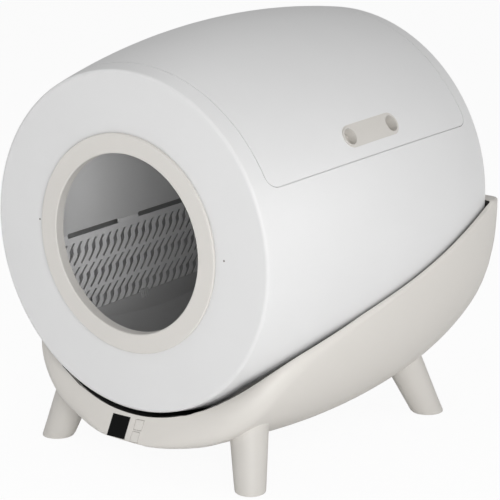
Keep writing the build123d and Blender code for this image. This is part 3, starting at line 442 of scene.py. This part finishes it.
def make_cradle_shell():
    """The cradle's outer skin and rim: rays from inside the cradle out to its surface.

    The first row lies on the hollow round the drum, and the last one is the point straight below the start.
    """
    start = np.array(SKIN_START)
    turn = np.linspace(-math.pi, math.pi, SKIN_COLUMNS, endpoint=False)

    def out_of_hollow(rise):
        """How far the surface in a direction lies outside the hollow, less than 0 within it."""
        x, place, height = np.moveaxis(along_rays(start, ray(turn, rise), cradle_side, SKIN_REACH), -1, 0)
        side = np.hypot(x, height) - hollow_radius(np.minimum(place, CRADLE_REAR))
        return np.maximum(side, place - TRAY_STOP)

    low, high = np.full(turn.shape, RIM_LOWEST), np.full(turn.shape, RIM_HIGHEST)
    for _ in range(RIM_HALVINGS):
        rise = (low + high) / 2
        inside = out_of_hollow(rise) < 0
        low, high = np.where(inside, low, rise), np.where(inside, rise, high)
    share = np.linspace(0, 1, SKIN_ROWS)[:, None] ** SKIN_CROWDING
    rise = low + (-math.pi / 2 - low) * share
    points = along_rays(start, ray(np.broadcast_to(turn, rise.shape), rise), cradle_side, SKIN_REACH)
    shell = surface_piece(
        "cradle_shell_skin", world(points), "base", "cradle_beige", ("cradle_shell",), around=True)
    face_outwards(shell, world(start))
    thicken(shell, SKIN_WALL, even=True)
    return shell


def on_panel(x, height, proud):
    """A point a distance in front of the cradle's leaning front, at an x and a height."""
    across = math.hypot(1, PANEL_SLOPE)
    place = (height - PANEL_HEIGHT + PANEL_SUNK * across) / PANEL_SLOPE
    return x, place - proud * PANEL_SLOPE / across, height + proud / across


def open_button_wells(shell):
    """Cuts a well through the cradle's skin for each button, a little larger than its cap all round."""
    cutters = []
    for name in ("upper_button_cap", "lower_button_cap"):
        corners = np.array(CONTROLS[name][-1])
        middle = corners.mean(axis=0)
        grown = middle + (corners - middle) * WELL_SHARE
        points = [on_panel(*corner, level) for level in (WELL_OUT, -WELL_IN) for corner in grown]
        faces = [(0, 1, 2, 3), (7, 6, 5, 4)] + [(i, i + 4, (i + 1) % 4 + 4, (i + 1) % 4) for i in range(4)]
        mesh = bpy.data.meshes.new("well")
        mesh.from_pydata((world(np.array(points)) * MM).tolist(), [], faces)
        cutter = bpy.data.objects.new("well", mesh)
        bpy.context.scene.collection.objects.link(cutter)
        hole = shell.modifiers.new("well", "BOOLEAN")
        hole.operation, hole.solver, hole.object = "DIFFERENCE", "EXACT", cutter
        work = bmesh.new()
        work.from_mesh(mesh)
        bmesh.ops.recalc_face_normals(work, faces=work.faces)
        work.to_mesh(mesh)
        work.free()
        cutters.append(cutter)
    bpy.context.view_layer.update()
    skin = bpy.data.meshes.new_from_object(shell.evaluated_get(bpy.context.evaluated_depsgraph_get()))
    shell.modifiers.clear()
    shell.data = skin
    skin.set_sharp_from_angle(angle=math.radians(SHARP_ANGLE))
    for cutter in cutters:
        bpy.data.objects.remove(cutter)


def make_tray():
    """The tray round the drum's underside: the hollow's radius, from rim to rim, and its flat rear. Its dark tone
    is painted shade for the deep gap between the drum and the cradle.
    """
    place = np.linspace(TRAY_START, TRAY_STOP, TRAY_ROWS)[:, None]
    radius = hollow_radius(place) + TRAY_OUT
    rim = np.minimum(rim_height(place), panel_height(place)) - TRAY_UNDER_RIM
    reach = np.arccos(np.clip(rim / -radius, -1, 1))
    angle = np.linspace(-1, 1, TRAY_COLUMNS) * reach
    points = np.stack([radius * np.sin(angle), place + 0 * angle, -radius * np.cos(angle)], axis=-1)
    inward = np.linspace(1, 0, TRAY_REAR_ROWS)[:, None]
    flat = np.repeat(points[-1:], TRAY_REAR_ROWS, axis=0)
    flat[..., 2] = rim[-1] + (flat[..., 2] - rim[-1]) * inward
    grid = np.concatenate([points, flat[1:]])
    tray = surface_piece("cradle_tray_skin", world(grid), "base", "cradle_beige", ("cradle_tray",))
    # Painted shade: the dark tone stands in for the shadow in the gap between drum and cradle
    tray.data.materials[0] = finishes["painted_shade_tray"]


def make_legs():
    """Round legs that widen upwards into the shell: rings square to the leg's line, and a rounded flat foot."""
    turn = np.linspace(0, 2 * math.pi, LEG_COLUMNS, endpoint=False)
    taper = math.tan(math.radians(LEG_TAPER))
    for name, (x, place, splay, rake) in LEGS.items():
        hand = math.copysign(1, x)
        line = np.array([-hand * math.tan(math.radians(splay)), math.tan(math.radians(rake)), 1])
        line /= np.linalg.norm(line)
        side = np.cross([0, 1, 0], line)
        side /= np.linalg.norm(side)
        fore = np.cross(line, side)
        rise = np.array(LEG_RISES)[:, None]
        middle = np.array([x, FACE_Y + place, 0]) + line * rise
        across = np.cos(turn)[:, None] * side + np.sin(turn)[:, None] * fore
        points = middle[:, None] + (LEG_RADIUS + rise * taper)[..., None] * across
        start = points[-1] - world(np.zeros(3))
        top = along_rays(start, line + across * taper, lambda *at: -cradle_side(*at) - LEG_HOLD, LEG_REACH)
        upper = [world(start + (top - start) * 0.5)[None], world(top)[None]]
        low = points[:1] - line * ((points[:1] - [0, 0, FOOT_LIFT])[..., 2:] / line[2])
        ring = low - (low - low.mean(axis=1, keepdims=True)) * (FOOT_ROUNDING / LEG_RADIUS)
        raised = low + line * FOOT_ROUNDING
        half = (ring + raised) / 2 + (low - (ring + raised) / 2) * FOOT_FULLNESS
        centre = np.repeat(ring.mean(axis=1, keepdims=True), len(turn), axis=1)
        rows = np.concatenate([centre, ring, half, raised, points[1:], *upper])
        leg = surface_piece(name + "_moulding", rows, "base", "cradle_beige", (name,), around=True)
        # A darker copy of the cradle's beige: painted shade on the legs
        leg.data.materials[0] = finishes["painted_shade_leg"]


def on_screen(across, up):
    """Points of the screen's inner face, counted along the drum and up the slope from the middle of its top."""
    lean = math.radians(SCREEN_LEAN)
    x, place, height = SCREEN_TOP
    return np.stack([x - up * math.sin(lean), place + across, height + up * math.cos(lean)], axis=-1)


def slot_lines():
    """The lines of points that the sieve's slots are drawn with, from the top of the first row to the last's foot.

    Each has two points for every slot, one on its left edge and one on its right.
    """
    column = np.arange(*SLOT_COLUMNS)
    lines = []
    for row in range(SLOT_ROWS):
        left, right = (SLOT_LEFT, SLOT_RIGHT) if row else (TOP_SLOT_LEFT, TOP_SLOT_RIGHT)
        shares = np.stack([np.array(left), np.array(right)], axis=1)
        bend = np.array([-SLOT_ROW_SHIFT * row, -SLOT_FIRST_BEND - SLOT_ROW_DROP * row])
        along = np.stack([(column - 2 * row) * SLOT_PITCH, 0 * column], axis=-1)
        lines.append((shares[:, None] * SLOT_PITCH + bend + along[:, None]).reshape(len(left), -1, 2))
    return np.concatenate(lines)


def make_sieve():
    """The sieve: a thin plate of bars between three rows of bent slots.

    Its grid follows the slots' edges, with a line more at its upper and its lower edge. Faces between a slot's own
    two edges are left out.
    """
    lines = slot_lines()
    top, low = lines[:1].copy(), lines[-1:].copy()
    top[..., 1], low[..., 1] = SCREEN_HIGH, SCREEN_LOW
    lines = np.concatenate([top, lines, low])
    across, up = lines[..., 0], lines[..., 1]
    inner = hollow_radius(SCREEN_TOP[1] + across) - HOLLOW_GAPS[-1] - SIEVE_CLEAR
    limit = -np.sqrt(np.maximum(inner ** 2 - SCREEN_DISTANCE ** 2, 0))
    whole = (abs(across) < SCREEN_HALF_LENGTH - SLOT_MARGIN) & (up > limit - SLOT_OVERRUN)
    slot = np.zeros((lines.shape[0] - 1, lines.shape[1] - 1), dtype=bool)
    bends = len(SLOT_LEFT)
    for first in (1 + bends * row for row in range(SLOT_ROWS)):
        block = whole[first:first + bends].all(axis=0)
        slot[first:first + bends - 1, ::2] = block[:-1:2] & block[1::2]
    across = np.clip(across, -SCREEN_HALF_LENGTH, SCREEN_HALF_LENGTH)
    up[:-1] = np.maximum(up[:-1], limit[:-1] + FOOT_STRIP)
    up[-1] = np.maximum(up[-1], limit[-1])
    grid = world(on_screen(across, up))
    plate = surface_piece("sieve_plate", grid, "drum", "sieve_grey", ("sieve_screen",), kept=~slot)
    face_drum_middle(plate)
    thicken(plate, SIEVE_WALL)
    plate.data.shade_flat()


def make_waste_wall():
    """The smooth wall over the sieve: it leans in from the sieve's top, with two low notches along its foot."""
    foot_x, middle, foot_height = SCREEN_TOP
    lean = math.radians(SCREEN_LEAN)
    tilt = math.tan(math.radians(WALL_LEAN))
    rise = WALL_TOP - foot_height
    profile = np.array(
        [(foot_x - SCREEN_HIGH * math.sin(lean), foot_height + SCREEN_HIGH * math.cos(lean))]
        + [(foot_x + up * tilt, foot_height + up) for up in (0, NOTCH_TOP, WALL_ROW * rise, rise)])
    near, far = NOTCH_GAP / 2, NOTCH_GAP / 2 + NOTCH_LENGTH
    across = np.array([-SCREEN_HALF_LENGTH, -far, -near, near, far, SCREEN_HALF_LENGTH])
    points = np.empty((len(profile), len(across), 3))
    points[..., 0], points[..., 2] = profile[:, :1], profile[:, 1:]
    points[..., 1] = middle + across
    kept = np.ones((len(profile) - 1, len(across) - 1), dtype=bool)
    kept[:2, 1::2] = False
    wall = surface_piece("waste_wall_panel", world(points), "drum", "sieve_grey", ("waste_wall",), kept=kept)
    # A lighter tone than its slot's: painted light on the downward-facing wall
    wall.data.materials[0] = finishes["painted_light_wall"]
    face_drum_middle(wall)
    thicken(wall, WASTE_WALL)
    wall.data.shade_flat()


def make_controls():
    """The display, its board and the two buttons: flat plates with softened edges that lie in the front."""
    for name, (body, slot, node, proud, depth, corners) in CONTROLS.items():
        middle = np.mean(corners, axis=0)
        steps = ((0, 0), (CONTROL_INSET, 0), (1, CONTROL_SOFTENING), (1, depth), (0, depth))
        rings = [[on_panel(*(middle + (np.array(corner) - middle) * inset), proud - down) for corner in corners]
                 for inset, down in steps]
        surface_piece(name, world(np.array(rings)), body, slot, (node,), around=True, sharp=CONTROL_SHARP_ANGLE)


def make_pin_holes():
    """The two pin-holes beside the trim ring: small discs in the drum's face, dark with painted shade for the
    holes' depth.
    """
    turn = np.linspace(0, 2 * math.pi, PIN_HOLE_COLUMNS, endpoint=False)
    steps = ((0, -PIN_HOLE_PROUD), (PIN_HOLE_RADIUS, -PIN_HOLE_PROUD), (PIN_HOLE_RADIUS, PIN_HOLE_DEPTH),
             (0, PIN_HOLE_DEPTH))
    for name, (x, height) in PIN_HOLES.items():
        rows = [np.stack([x + radius * np.cos(turn), place + 0 * turn, height + radius * np.sin(turn)], axis=-1)
                for radius, place in steps]
        hole = surface_piece(name, world(np.array(rows)), "drum", "drum_white", around=True)
        # The dark grey is painted shade for the inside of the holes
        hole.data.materials[0] = finishes["painted_hole_shade"]


def add_floor():
    """A pale floor that keeps the object's soft shadow on a white ground."""
    mesh = bpy.data.meshes.new("floor")
    corners = [(x * FLOOR_REACH, y * FLOOR_REACH, 0) for x, y in ((-1, -1), (1, -1), (1, 1), (-1, 1))]
    mesh.from_pydata(corners, [], [(0, 1, 2, 3)])
    floor = bpy.data.objects.new("floor", mesh)
    bpy.context.scene.collection.objects.link(floor)
    material, tree, shader = node_shader("floor")
    nodes, links = tree.nodes, tree.links
    shader.inputs["Base Color"].default_value = (FLOOR_GREY, FLOOR_GREY, FLOOR_GREY, 1)
    shader.inputs["Roughness"].default_value = FLOOR_ROUGHNESS
    white = nodes.new("ShaderNodeEmission")
    white.inputs["Color"].default_value = (1, 1, 1, 1)
    path = nodes.new("ShaderNodeLightPath")
    share = nodes.new("ShaderNodeMath")
    share.operation = "MULTIPLY"
    share.inputs[1].default_value = FLOOR_WHITE
    links.new(path.outputs["Is Camera Ray"], share.inputs[0])
    mix = nodes.new("ShaderNodeMixShader")
    links.new(share.outputs[0], mix.inputs[0])
    links.new(shader.outputs[0], mix.inputs[1])
    links.new(white.outputs[0], mix.inputs[2])
    links.new(mix.outputs[0], nodes["Material Output"].inputs["Surface"])
    mesh.materials.append(material)


def add_lamp(name, place, width, power):
    """A square soft lamp that faces the object."""
    data = bpy.data.lights.new(name, "AREA")
    data.shape = "SQUARE"
    data.size = width
    data.energy = power
    lamp = bpy.data.objects.new(name, data)
    bpy.context.scene.collection.objects.link(lamp)
    lamp.location = place
    lamp.rotation_mode = "QUATERNION"
    lamp.rotation_quaternion = (Vector(LAMP_TARGET) - Vector(place)).to_track_quat("-Z", "Y")


def add_light():
    """A bright even studio: soft lamps, and a world that gives some light and is pure white to the camera."""
    studio = bpy.data.worlds.new("studio")
    bpy.context.scene.world = studio
    studio.use_nodes = True
    nodes, links = studio.node_tree.nodes, studio.node_tree.links
    background = nodes["Background"]
    background.inputs["Color"].default_value = (1, 1, 1, 1)
    background.inputs["Strength"].default_value = STUDIO_STRENGTH
    seen = nodes.new("ShaderNodeBackground")
    seen.inputs["Color"].default_value = (1, 1, 1, 1)
    seen.inputs["Strength"].default_value = 1
    path = nodes.new("ShaderNodeLightPath")
    mix = nodes.new("ShaderNodeMixShader")
    links.new(path.outputs["Is Camera Ray"], mix.inputs[0])
    links.new(background.outputs[0], mix.inputs[1])
    links.new(seen.outputs[0], mix.inputs[2])
    links.new(mix.outputs[0], nodes["World Output"].inputs["Surface"])
    for name, (place, width, power) in LAMPS.items():
        add_lamp(name, place, width, power)


bpy.context.scene.view_settings.view_transform = "Standard"
add_camera()
add_floor()
add_light()
dress_cad_nodes()
open_button_wells(make_cradle_shell())
make_tray()
make_legs()
make_sieve()
make_waste_wall()
make_controls()
make_pin_holes()
